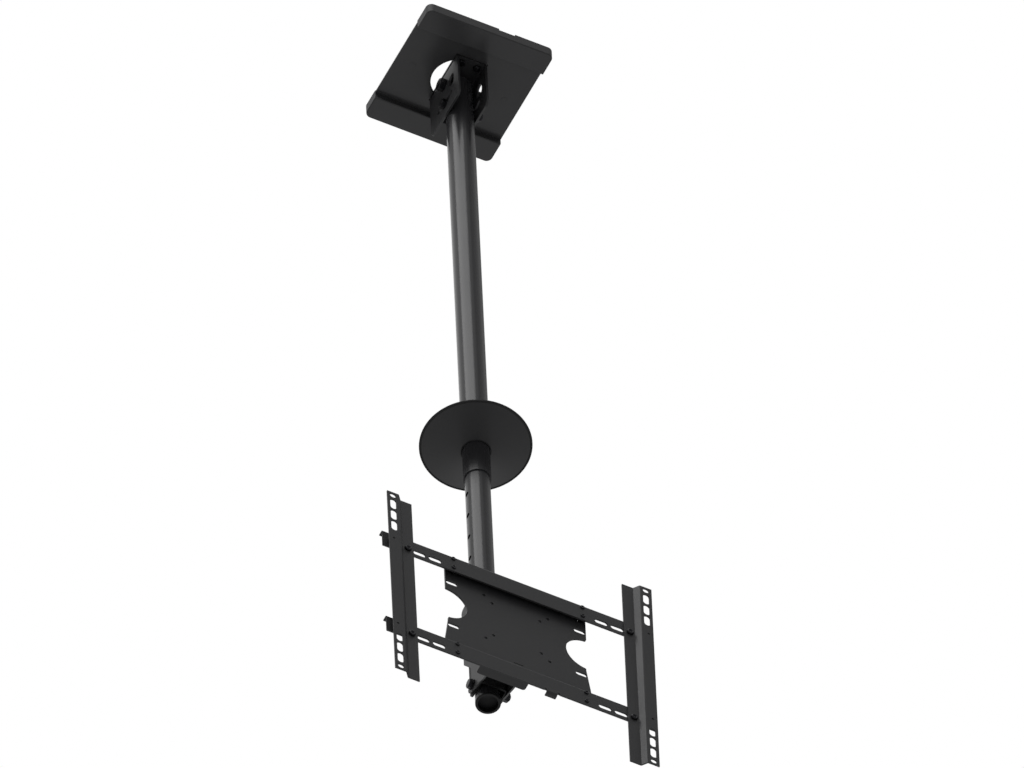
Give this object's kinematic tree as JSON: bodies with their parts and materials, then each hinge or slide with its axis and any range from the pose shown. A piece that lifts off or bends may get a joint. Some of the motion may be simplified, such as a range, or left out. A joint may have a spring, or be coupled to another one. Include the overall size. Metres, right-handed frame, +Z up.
{
  "type": "tv mount",
  "caption": "Ceiling mount for a flat screen: telescopic pole with trim disc, tilting head, slotted plate, rails and upright arms.",
  "frame": {"origin": "on the ceiling, on the pole's axis, at the middle of the four ceiling fixings", "axes": "+Z up along the pole into the ceiling, -Y towards the viewer of the screen, +X to the right of that viewer"},
  "size_m": [0.428, 0.2143, 1.6346],
  "materials": {
    "powder_coated_steel": "matt black powder coat",
    "satin_black_tube": "satin black",
    "black_zinc": "black zinc",
    "black_abs": "fine grained",
    "black_rubber": "matt"
  },
  "bodies": {
    "ceiling": {"ceiling_plate": "powder_coated_steel", "ceiling_bracket": "powder_coated_steel", "bracket_screws": "black_zinc", "ceiling_cover": "black_abs", "cover_screws": "black_zinc", "ceiling_pivot_bolt": "black_zinc", "ceiling_pivot_washers": "black_zinc", "ceiling_pivot_nut": "black_zinc"},
    "upper_pole": {"upper_tube": "satin_black_tube", "height_collar": "powder_coated_steel", "height_screws": "black_zinc", "slope_lock_bolt": "black_zinc", "slope_lock_washers": "black_zinc", "slope_lock_nut": "black_zinc"},
    "trim": {"trim_disc": "powder_coated_steel", "trim_grommet": "black_rubber"},
    "lower_pole": {"lower_tube": "satin_black_tube", "tube_end_plug": "black_abs", "pole_clamp": "powder_coated_steel", "tilt_pivot_bolt": "black_zinc", "tilt_pivot_washers": "black_zinc", "tilt_pivot_nut": "black_zinc", "tilt_lock_bolt": "black_zinc", "tilt_lock_washers": "black_zinc", "tilt_lock_nut": "black_zinc"},
    "head": {"tilt_bracket": "powder_coated_steel", "centre_plate": "powder_coated_steel", "top_rail": "powder_coated_steel", "bottom_rail": "powder_coated_steel", "rail_bolts": "black_zinc", "rail_spacers": "black_zinc", "rail_nuts": "black_zinc", "rail_caps": "black_abs"},
    "left_arm": {"left_arm": "powder_coated_steel", "left_arm_screws": "black_zinc", "left_arm_nuts": "black_zinc"},
    "right_arm": {"right_arm": "powder_coated_steel", "right_arm_screws": "black_zinc", "right_arm_nuts": "black_zinc"}
  },
  "joints": [
    {"name": "ceiling_pivot", "type": "hinge", "parent": "ceiling", "child": "upper_pole", "pos_m": [0, 0, -0.026], "axis": [1, 0, 0], "range_deg": [-25, 25]},
    {"name": "trim_slide", "type": "slide", "parent": "upper_pole", "child": "trim", "axis": [0, 0, 1], "range_m": [-0.07, 0.01]},
    {"name": "pole_slide", "type": "slide", "parent": "upper_pole", "child": "lower_pole", "axis": [0, 0, 1], "range_m": [-0.1, 0.25]},
    {"name": "head_tilt", "type": "hinge", "parent": "lower_pole", "child": "head", "pos_m": [0, 0, -1.433], "axis": [1, 0, 0], "range_deg": [-8, 8]},
    {"name": "left_arm_slide", "type": "slide", "parent": "head", "child": "left_arm", "axis": [-1, 0, 0], "range_m": [0, 0.012]},
    {"name": "right_arm_slide", "type": "slide", "parent": "head", "child": "right_arm", "axis": [1, 0, 0], "range_m": [0, 0.012]}
  ]
}
